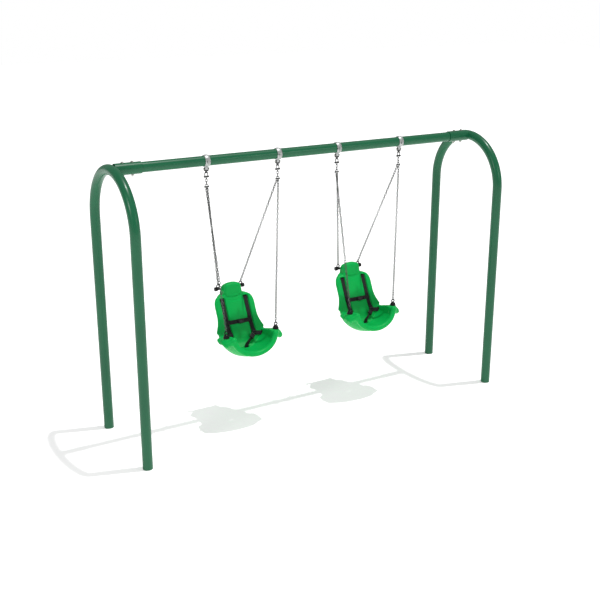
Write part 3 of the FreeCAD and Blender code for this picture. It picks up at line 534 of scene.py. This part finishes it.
def pan_field(x, y, z):
    """Pan with its side walls, rolled lip and arms. Factors near 0.9 allow for a cut's slope."""
    inner = pan_distance(x, y, z, INNER)
    body = less(pan_distance(x, y, z, OUTER), inner, 5)
    rear = (y - along([(p[1], p[0]) for p in BACK], z)) * 0.9
    body = both(body, rear, 12)
    rim = (z - along(RIM, y)) * 0.94
    body = both(body, rim, 9)
    front = (LIP_Y - LIP_LEAN * (PAN_TOP - z)) - y
    body = np.maximum(body, front * 0.97)
    body = either(body, lip_distance(x, y, z) - LIP_R, 12)
    body = either(body, arm_field(x, y, z, inner), 16)
    return less(body, both(eye_distance(x, y), EYE[2] - z, 1), 4)


def seat_field(x, y, z):
    """Signed distance, in millimetres, to the whole moulding, for x of one side."""
    face_y = face_at(z)
    body = either(back_field(x, y, z, face_y), pan_field(x, y, z), 10)
    depth = (y - face_y) * LEAN_COS
    across = np.abs(x - CHANNEL_X) - CHANNEL_HALF
    height = np.abs(z - CHANNEL_Z) - CHANNEL_HALF_Z
    channel = both(both(depth - CHANNEL_DEEP, across, 5), height, 8)
    body = less(body, channel, 6)
    body = less(body, box_distance(x, y, z, *STRAP_SLOT), 4)
    body = less(body, box_distance(x, y, z, *CROTCH_SLOT), 5)
    body = less(body, box_distance(x, y, z, *LAP_SLOT), 5)
    return body.astype(np.float32)


def surface_nets(f, origin, step):
    """Quads of the zero surface of a sampled field, one vertex in each cell that it crosses."""
    s = f < 0
    total = sum(s[i:s.shape[0] - 1 + i, j:s.shape[1] - 1 + j, k:s.shape[2] - 1 + k].astype(np.int8)
                for i in (0, 1) for j in (0, 1) for k in (0, 1))
    cells = np.argwhere((total > 0) & (total < 8))
    index = np.full(total.shape, -1, np.int64)
    index[tuple(cells.T)] = np.arange(len(cells))
    corner = {(i, j, k): f[cells[:, 0] + i, cells[:, 1] + j, cells[:, 2] + k]
              for i in (0, 1) for j in (0, 1) for k in (0, 1)}
    place = np.zeros((len(cells), 3))
    hits = np.zeros(len(cells))
    for c, fc in corner.items():
        for axis in range(3):
            if c[axis]:
                continue
            d = tuple(v + (n == axis) for n, v in enumerate(c))
            fd = corner[d]
            cross = (fc < 0) != (fd < 0)
            t = np.where(cross, fc / np.where(cross, fc - fd, 1), 0)
            p = np.array(c, float) + t[:, None] * np.eye(3)[axis]
            place += np.where(cross[:, None], p, 0)
            hits += cross
    vertices = (cells + place / hits[:, None]) * step + origin
    quads = []
    for axis in range(3):
        b, c = [n for n in range(3) if n != axis]
        low = [slice(1, -1)] * 3
        low[axis] = slice(0, -1)
        high = list(low)
        high[axis] = slice(1, None)
        start, end = s[tuple(low)], s[tuple(high)]
        for sign in (True, False):
            at = np.argwhere((start != end) & (start == sign))
            at[:, b] += 1
            at[:, c] += 1
            ring = []
            for db, dc in ((0, 0), (-1, 0), (-1, -1), (0, -1)):
                q = at.copy()
                q[:, b] += db
                q[:, c] += dc
                ring.append(index[tuple(q.T)])
            ring = np.stack(ring, 1)
            flip = sign == (axis == 1)
            quads.append(ring[:, ::-1] if flip else ring)
    return vertices, np.vstack(quads)


def settle(vertices, f, origin, step, rounds=3):
    """Moves vertices along the field's slope onto its zero surface."""
    g = np.stack(np.gradient(f, step), -1)

    def sample(a, p):
        q = (p - origin) / step
        i = np.clip(np.floor(q).astype(int), 0, np.array(a.shape[:3]) - 2)
        t = q - i
        out = 0
        for dx in (0, 1):
            for dy in (0, 1):
                for dz in (0, 1):
                    w = (t[:, 0] if dx else 1 - t[:, 0]) * (t[:, 1] if dy else 1 - t[:, 1]) \
                        * (t[:, 2] if dz else 1 - t[:, 2])
                    v = a[i[:, 0] + dx, i[:, 1] + dy, i[:, 2] + dz]
                    out = out + (w[:, None] * v if v.ndim == 2 else w * v)
        return out

    for _ in range(rounds):
        slope = sample(g, vertices)
        value = sample(f, vertices)
        size = np.maximum((slope ** 2).sum(1), 0.05)
        move = slope * (value / size)[:, None]
        far = np.linalg.norm(move, axis=1)[:, None]
        vertices = vertices - move * np.minimum(1, 0.5 * step / np.maximum(far, 1e-9))
    return vertices


def seat_mesh():
    """Vertices in metres and quads of the seat, about its own middle plane."""
    xs = np.arange(0, GRID_X_END, STEP)
    ys = np.arange(*GRID_Y, STEP)
    zs = np.arange(*GRID_Z, STEP)
    half = seat_field(xs[:, None, None], ys[None, :, None], zs[None, None, :])
    f = np.concatenate([half[:0:-1], half])
    origin = np.array([-xs[-1], ys[0], zs[0]])
    vertices, quads = surface_nets(f, origin, STEP)
    vertices = settle(vertices, f, origin, STEP)
    return vertices * MM, quads


def build_seats():
    """The same moulding at both swings."""
    vertices, quads = seat_mesh()
    for number in SWINGS:
        seat = mesh_object("seat_moulding_%d" % number, vertices + (swing_x(number), 0, 0), quads,
                           MATERIALS["seat_plastic"])
        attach(seat, "swing_%d_seat" % number)
        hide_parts("swing_%d_seat_shell" % number)


# ---------------------------------------------------------------- harness

WEB_HALF_W = 19.0          # 38 mm webbing
WEB_HALF_T = 1.25
RIPPLE = 0.5               # slack wave along a strap, and its length per radian
RIPPLE_LENGTH = 23.0
UPHILL = (0, LEAN_SIN, LEAN_COS)       # up along the backrest's face, and out of it
OUT_OF_FACE = np.array([0, -LEAN_COS, LEAN_SIN])
CHEST_Z = 935.0
CHEST_BUCKLE_AT = (12.0, 105.9, CHEST_Z)
HIP_AT = (CHANNEL_X, 61.0, 830.0)
KEEPER_AT = (286.5, 1092.0)      # slider on each strap's tail behind the back: (y, z)
ROUTE_LIFT = 12.0          # shoulder strap's middle behind the face, down in its channel
ROUTE_Z = (1108, 878)      # heights between which it lies there
FACE_TILT = math.radians(-27)    # how far the buckles lean back with the face
STITCH = 3.2               # pitch of the stitches, and the part of it that is thread
STITCH_FILL = 0.78
THREAD_R = 0.42
CHEST_SEWN_Y = 125.4       # the chest strap's sewn boxes, and those at the shoulder straps' lower ends
LOW_SEWN_Z = 892.0
LOW_SEWN_LIFT = 10.5


def strap_section():
    """Outline of the webbing: flat faces, a slightly raised selvedge and round edges, as (across, lift)."""
    one_face = [(-1.0, 0.0), (-0.985, 0.75), (-0.95, 1.1), (-0.9, 1.0), (-0.5, 0.96), (0.0, 0.95),
                (0.5, 0.96), (0.9, 1.0), (0.95, 1.1), (0.985, 0.75)]
    other = [(-a, -b) for a, b in one_face]
    return np.array(one_face + other)


def strap_mesh(route, across):
    """Vertices, quads and strap UVs of a webbing strap along a smooth route, in millimetres."""
    line = through(route, 8)
    wide = through(across, 8)
    length = np.concatenate([[0], np.cumsum(np.linalg.norm(np.diff(line, axis=0), axis=1))])
    forward = np.gradient(line, axis=0)
    forward /= np.linalg.norm(forward, axis=1)[:, None]
    wide = wide - forward * (wide * forward).sum(1)[:, None]
    wide /= np.linalg.norm(wide, axis=1)[:, None]
    thick = np.cross(forward, wide)
    wave = RIPPLE * np.sin(length / RIPPLE_LENGTH) * np.sin(np.pi * length / length[-1])
    line = line + thick * wave[:, None]
    section = strap_section()
    sway = WEB_HALF_W * section[:, 0]
    lift = WEB_HALF_T * section[:, 1]
    rings = line[:, None] + wide[:, None] * sway[None, :, None] + thick[:, None] * lift[None, :, None]
    n, k = rings.shape[:2]
    quads = [(i * k + j, (i + 1) * k + j, (i + 1) * k + (j + 1) % k, i * k + (j + 1) % k)
             for i in range(n - 1) for j in range(k)]
    caps = [tuple(range(k)), tuple(range(n * k - 1, (n - 1) * k - 1, -1))]
    uv = np.stack([np.repeat(length, k), np.tile(sway, n)], 1) * MM
    return rings.reshape(-1, 3), quads + caps, uv


def stitches(start, end, lift):
    """A row of thread stitches from start to end, lifted a little off the webbing."""
    start, end, lift = (np.array(v, float) for v in (start, end, lift))
    span = np.linalg.norm(end - start)
    forward = (end - start) / span
    side = np.cross(forward, lift / np.linalg.norm(lift))
    up = np.cross(side, forward)
    vertices, faces = [], []
    for s in np.arange(0.6, span - STITCH * 0.6, STITCH):
        base = len(vertices)
        a = start + lift + forward * s
        b = a + forward * STITCH * STITCH_FILL
        vertices.append(a - up * THREAD_R)
        for centre in (a + (b - a) * 0.2, a + (b - a) * 0.8):
            for u, v in ((1, 0), (0.5, 0.87), (-0.5, 0.87), (-1, 0), (0, -0.8)):
                vertices.append(centre + side * u * THREAD_R + up * v * THREAD_R)
        vertices.append(b - up * THREAD_R)
        ring = range(5)
        faces += [(base, base + 1 + (i + 1) % 5, base + 1 + i) for i in ring]
        faces += [(base + 1 + i, base + 1 + (i + 1) % 5, base + 6 + (i + 1) % 5, base + 6 + i)
                  for i in ring]
        faces += [(base + 11, base + 6 + i, base + 6 + (i + 1) % 5) for i in ring]
    return vertices, faces


def box_stitch(centre, along_dir, across_dir, half_l, half_w, lift):
    """Sewn rectangle with a cross in it."""
    c, u, v = (np.array(n, float) for n in (centre, along_dir, across_dir))
    corner = [c + u * half_l * a + v * half_w * b for a, b in ((-1, -1), (1, -1), (1, 1), (-1, 1))]
    runs = [(0, 1), (1, 2), (2, 3), (3, 0), (0, 2), (1, 3)]
    return [stitches(corner[a], corner[b], lift) for a, b in runs]


def joined(pieces):
    """Several (vertices, faces) lists as one."""
    vertices, faces = [], []
    for some_vertices, some_faces in pieces:
        base = len(vertices)
        vertices += [tuple(v) for v in some_vertices]
        faces += [tuple(base + i for i in f) for f in some_faces]
    return np.array(vertices), faces


# a strap's way over and under the adjuster's bars, in the adjuster's own millimetres
ADJUSTER_WEAVE = ((0, 14, 38), (0, 6.5, 25), (0, 5.6, 15), (0, 0, 8), (0, -5.2, 0), (0, 0, -8),
                  (0, 5.2, -13))


def shoulder_route(x):
    """Out of the slot from behind the back, down the channel and woven through the hip adjuster."""
    zs = np.arange(*ROUTE_Z, -20.0)
    ys = face_at(zs) + ROUTE_LIFT
    top = ys[0] + 4
    slot_z = STRAP_SLOT[0][2]
    tail = [(x, 270, 1062), (x, 280, 1080), (x, 290, 1097), (x, 304, 1118)]
    over = [(x, 309, slot_z - 1), (x, 302, slot_z), (x, top + 12, slot_z), (x, top + 2, slot_z - 5)]
    points = tail + over + [(x, y, z) for y, z in zip(ys, zs)]
    return points + [tuple(p) for p in tilted(np.array(ADJUSTER_WEAVE), (x, *HIP_AT[1:]))]


def mirrored(points):
    """The same route on the other side of the seat."""
    return [(-p[0], p[1], p[2]) for p in points]


CHEST_ROUTE = ((134, 127.5, CHEST_Z), (118, 127.2, CHEST_Z), (104, 126, CHEST_Z), (93, 118, CHEST_Z),
               (80, 117, CHEST_Z), (40, 116.6, CHEST_Z))
LAP_ROUTE = ((210, 45, 808), (188, 48, 810), (166, 50, 813), (151, 53, 815), (138, 58, 815),
             (120, 59.6, 815), (104, 59.6, 815))
CROTCH_ROUTE = ((0, -18, 690), (0, -18, 738), (22, -12, 766), (48, 0, 785), (64, 9.5, 795.5))
CROTCH_ACROSS = ((1, 0, 0), (1, 0, 0), (0.8, 0.3, -0.4), (0.5, 0.3, -0.8), (0.5, 0.3, -0.8))


def harness_straps():
    """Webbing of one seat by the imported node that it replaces: lists of (route, across)."""
    shoulder = shoulder_route(CHANNEL_X)
    chest = list(CHEST_ROUTE) + [(0, CHEST_ROUTE[-1][1], CHEST_Z)] + mirrored(CHEST_ROUTE)[::-1]
    sideways = [(1, 0, 0)] * len(shoulder)
    uphill = [UPHILL] * len(LAP_ROUTE)
    return {
        "shoulder_straps": [(shoulder, sideways), (mirrored(shoulder), sideways)],
        "chest_strap": [(chest, [UPHILL] * len(chest))],
        "lap_straps": [(LAP_ROUTE, uphill), (mirrored(LAP_ROUTE), uphill)],
        "crotch_strap": [(CROTCH_ROUTE, CROTCH_ACROSS)],
    }


def build_straps(number):
    """The webbing, with UVs in metres along and across each strap."""
    x = swing_x(number)
    for node, straps in harness_straps().items():
        meshes = [strap_mesh(route, across) for route, across in straps]
        vertices, faces = joined([m[:2] for m in meshes])
        name = "webbing_%s_%d" % (node, number)
        obj = mesh_object(name, vertices * MM + (x, 0, 0), faces, MATERIALS["webbing"])
        layer = obj.data.uv_layers.new(name="strap")
        uv = np.concatenate([m[2] for m in meshes])
        corners = np.zeros(len(obj.data.loops), np.int32)
        obj.data.loops.foreach_get("vertex_index", corners)
        layer.data.foreach_set("uv", uv[corners].ravel())
        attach(obj, "swing_%d_seat" % number)
        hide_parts("swing_%d_%s" % (number, node))


def build_thread(number):
    """Sewn boxes where the chest strap joins the shoulder straps, and at the straps' lower ends."""
    up = np.array(UPHILL) / np.linalg.norm(UPHILL)
    low_y = float(face_at(LOW_SEWN_Z)) + LOW_SEWN_LIFT
    pieces = []
    for side in (-1, 1):
        chest_at = (side * CHANNEL_X, CHEST_SEWN_Y, CHEST_Z)
        low_at = (side * CHANNEL_X, low_y, LOW_SEWN_Z)
        pieces += box_stitch(chest_at, (side, 0, 0), up, 11, 14, OUT_OF_FACE * 0.5)
        pieces += box_stitch(low_at, (side, 0, 0), up, 15, 8, OUT_OF_FACE * 0.4)
    vertices, faces = joined(pieces)
    obj = mesh_object("stitching_%d" % number, vertices * MM + (swing_x(number), 0, 0), faces, THREAD)
    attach(obj, "swing_%d_seat" % number)


def chest_buckle_field(x, y, z):
    """Side-release buckle about its own middle: X along the strap, Y through it, Z across it."""
    body = box_distance(x, y, z, (-9, 0, 0), (21, 6.4, 18.5), 5)
    body = less(body, box_distance(x, y, z, (-6, 0, 21), (12, 9, 8.5), 3), 1.5)
    body = less(body, box_distance(x, y, z, (-6, 0, -21), (12, 9, 8.5), 3), 1.5)
    socket = box_distance(x, y, z, (22, 0, 0), (9, 5.6, 17.5), 4)
    tongue = box_distance(x, y, z, (12, 0, 0), (10, 3.4, 13), 2)
    body = np.minimum(np.minimum(body, socket), tongue)
    for side in (-1, 1):
        prong = box_distance(x, y, z, (-5, 0, side * 16), (10, 4.4, 3.2), 2.5)
        grip = np.cos(x * 1.6) * 0.35 * (np.abs(z) > 16)
        body = np.minimum(body, prong - grip)
        body = less(body, box_distance(x, y, z, (side * 24.5, 0, 0), (1.7, 9, 14), 1), 0.8)
    panel = box_distance(x, y, z, (-12, -6.6, 0), (9, 0.9, 8), 0.8)
    return less(body, panel, 0.8)


def adjuster_field(x, y, z):
    """Ladder adjuster: a frame, a middle bar and a lifting lip."""
    body = box_distance(x, y, z, (0, 0, 0), (21, 3.6, 17), 3.2)
    for at in (-7.5, 7.5):
        body = less(body, box_distance(x, y, z, (0, 0, at), (17.2, 9, 4.0), 1.6), 1.2)
    lip = box_distance(x, y, z, (0, -1.6, 15.5), (18, 2.6, 1.6), 1.4)
    ribs = np.cos(x * 1.9) * 0.3 * (np.abs(z) < 3)
    return np.minimum(body - ribs, lip)


def field_mesh(field, half, step):
    """Smooth mesh of a small field centred on the origin."""
    axes = [np.arange(-h - 3 * step, h + 3.01 * step, step) for h in half]
    f = field(axes[0][:, None, None], axes[1][None, :, None], axes[2][None, None, :]).astype(np.float32)
    origin = np.array([a[0] for a in axes])
    vertices, quads = surface_nets(f, origin, step)
    return settle(vertices, f, origin, step), quads


def tilted(vertices, at):
    """Leans a piece back with the backrest's face and moves it into place."""
    c, s = math.cos(FACE_TILT), math.sin(FACE_TILT)
    turn = np.array([(1, 0, 0), (0, c, -s), (0, s, c)])
    return vertices @ turn.T + at


def build_buckles(number):
    """Chest buckle, both hip adjusters and the sliders behind the back."""
    chest, chest_quads = field_mesh(chest_buckle_field, (32, 8, 20), 1.0)
    ladder, ladder_quads = field_mesh(adjuster_field, (22, 6, 19), 1.0)
    turned = ladder * (1, -1, 1)
    turned_quads = [q[::-1] for q in ladder_quads]
    pieces = [(tilted(chest, CHEST_BUCKLE_AT), chest_quads)]
    for side in (-1, 1):
        pieces.append((tilted(ladder, (side * HIP_AT[0], *HIP_AT[1:])), ladder_quads))
        pieces.append((tilted(turned, (side * HIP_AT[0], *KEEPER_AT)), turned_quads))
    vertices, faces = joined(pieces)
    obj = mesh_object("strap_buckles_%d" % number, vertices * MM + (swing_x(number), 0, 0), faces,
                      MATERIALS["black_plastic"])
    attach(obj, "swing_%d_seat" % number)
    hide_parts("swing_%d_strap_buckles" % number)


# ---------------------------------------------------------------- front rings

# outline of the rubber boot, as (radius, height over the arm)
BOOT = ((0.0, 0.2), (28.0, 0.2), (28.7, 1.6), (28.7, 6.0), (27.6, 8.0), (26.2, 8.8), (25.8, 11.0),
        (25.0, 16.0), (23.0, 21.5), (19.8, 26.5), (15.5, 30.8), (11.0, 33.6), (9.2, 35.2), (8.6, 37.5),
        (0.0, 38.5))
RING_R = 15.4
RING_WIRE_R = 4.8
RING_TOP = 63.0            # top of the ring's centre line over the arm
SHANK_R = 5.0
SHANK_END = -EYE_SEAT_T - 22.0   # lower end of the shank, past the nut under the arm
SHANK_BEVEL = 1.5


def lathe(profile, centre, sides=48):
    """Closed turned shape about Z, its profile running from one point on the axis to another."""
    r = np.array([p[0] for p in profile[1:-1]])
    z = np.array([p[1] for p in profile[1:-1]])
    turn = np.linspace(0, 2 * math.pi, sides, endpoint=False)
    height = np.repeat(z[:, None], sides, 1)
    rings = np.stack([r[:, None] * np.cos(turn), r[:, None] * np.sin(turn), height], -1)
    n = len(r)
    faces = [(i * sides + j, i * sides + (j + 1) % sides,
              (i + 1) * sides + (j + 1) % sides, (i + 1) * sides + j)
             for i in range(n - 1) for j in range(sides)]
    ends = np.array([(0, 0, profile[0][1]), (0, 0, profile[-1][1])])
    low, high = n * sides, n * sides + 1
    faces += [(low, (j + 1) % sides, j) for j in range(sides)]
    faces += [(high, (n - 1) * sides + j, (n - 1) * sides + (j + 1) % sides) for j in range(sides)]
    return np.vstack([rings.reshape(-1, 3), ends]) + centre, faces


def hoop(centre, radius, wire, sides=56, around=20):
    """Round ring standing in the XZ plane."""
    t = np.linspace(0, 2 * math.pi, sides, endpoint=False)[:, None]
    u = np.linspace(0, 2 * math.pi, around, endpoint=False)[None]
    r = radius + wire * np.cos(u)
    points = np.stack([r * np.cos(t), wire * np.sin(u) + 0 * t, r * np.sin(t)], -1).reshape(-1, 3)
    faces = [(i * around + j, ((i + 1) % sides) * around + j, ((i + 1) % sides) * around + (j + 1) % around,
              i * around + (j + 1) % around) for i in range(sides) for j in range(around)]
    return points + centre, faces


def build_front_rings(number):
    """Dipped rings on their boots, and their shanks through the arms."""
    shank = ((0, SHANK_END), (SHANK_R - 1.4, SHANK_END), (SHANK_R, SHANK_END + SHANK_BEVEL), (SHANK_R, 0.1),
             (0, 0.2))
    pieces = []
    for side in (-1, 1):
        at = np.array((side * EYE[0], *EYE[1:]))
        pieces.append(lathe(BOOT, at))
        pieces.append(hoop(at + (0, 0, RING_TOP - RING_R), RING_R, RING_WIRE_R))
        pieces.append(lathe(shank, at, 24))
    vertices, faces = joined(pieces)
    obj = mesh_object("front_rings_%d" % number, vertices * MM + (swing_x(number), 0, 0), faces,
                      MATERIALS["black_coating"])
    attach(obj, "swing_%d_seat" % number)
    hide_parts("swing_%d_front_eyes" % number)


# ---------------------------------------------------------------- stage

FLOOR_HALF = 40
FLOOR_GLOW = 0.42
SKY_LIGHT = 0.34
# name, kind, energy, place, aim, and the disc's width or the sun's angle
LIGHTS = (("sun", "SUN", 2.1, (2.3, -0.7, 10), (0, 0, 0), math.radians(1.2)),
          ("key", "AREA", 110, (-6.5, -3.0, 6.0), (-0.5, 0, 1.4), 1.6),
          ("fill", "AREA", 50, (3.5, -6.5, 4.5), (0, 0, 1.2), 2.5))
CAMERA_LENS = 58.86
CAMERA_AT = (-4.5506, -7.5676, 3.9745)
CAMERA_DOWN = 18.25        # degrees under the horizon, and of turn from the +Y direction
CAMERA_TURN = -30.57


def aimed(data, location, rotation):
    """Object of a light or camera."""
    obj = bpy.data.objects.new(data.name, data)
    bpy.context.scene.collection.objects.link(obj)
    obj.location = location
    obj.rotation_euler = rotation
    return obj


def light(name, kind, energy, location, target, size):
    """Disc light or sun aimed at a point."""
    data = bpy.data.lights.new(name, kind)
    data.energy = energy
    if kind == "AREA":
        data.shape = "DISK"
        data.size = size
    else:
        data.angle = size
    toward = Vector(target) - Vector(location)
    aimed(data, location, toward.to_track_quat("-Z", "Y").to_euler())


def build_floor():
    """Pale matt floor with a glow of its own, which keeps its shadows faint."""
    material = bpy.data.materials.new("floor")
    material.use_nodes = True
    shader = material.node_tree.nodes["Principled BSDF"]
    shader.inputs["Base Color"].default_value = (0.93, 0.93, 0.93, 1)
    shader.inputs["Roughness"].default_value = 0.9
    shader.inputs["Specular IOR Level"].default_value = 0.0
    shader.inputs["Emission Color"].default_value = (1, 1, 1, 1)
    shader.inputs["Emission Strength"].default_value = FLOOR_GLOW
    corners = [(-FLOOR_HALF, -FLOOR_HALF, 0), (FLOOR_HALF, -FLOOR_HALF, 0), (FLOOR_HALF, FLOOR_HALF, 0),
               (-FLOOR_HALF, FLOOR_HALF, 0)]
    floor = mesh_object("floor", corners, [(0, 1, 2, 3)], material, smooth=False)


def build_world():
    """White backdrop that lights the object less brightly than it looks."""
    world = bpy.data.worlds.new("studio")
    bpy.context.scene.world = world
    world.use_nodes = True
    tree = world.node_tree
    background = tree.nodes["Background"]
    background.inputs["Color"].default_value = (1.0, 1.0, 1.0, 1)
    path = tree.nodes.new("ShaderNodeLightPath")
    strength = tree.nodes.new("ShaderNodeMapRange")
    strength.inputs["To Min"].default_value = SKY_LIGHT
    strength.inputs["To Max"].default_value = 1.0
    tree.links.new(path.outputs["Is Camera Ray"], strength.inputs["Value"])
    tree.links.new(strength.outputs["Result"], background.inputs["Strength"])


def build_camera():
    data = bpy.data.cameras.new("camera")
    data.sensor_width = 36.0
    data.lens = CAMERA_LENS
    turn = (math.radians(90 - CAMERA_DOWN), 0, math.radians(CAMERA_TURN))
    bpy.context.scene.camera = aimed(data, CAMERA_AT, turn)


dress_nodes()
build_seats()
for swing in SWINGS:
    build_straps(swing)
    build_thread(swing)
    build_buckles(swing)
    build_front_rings(swing)
build_floor()
build_world()
for row in LIGHTS:
    light(*row)
build_camera()
bpy.context.scene.view_settings.view_transform = "Standard"

bpy.context.view_layer.update()
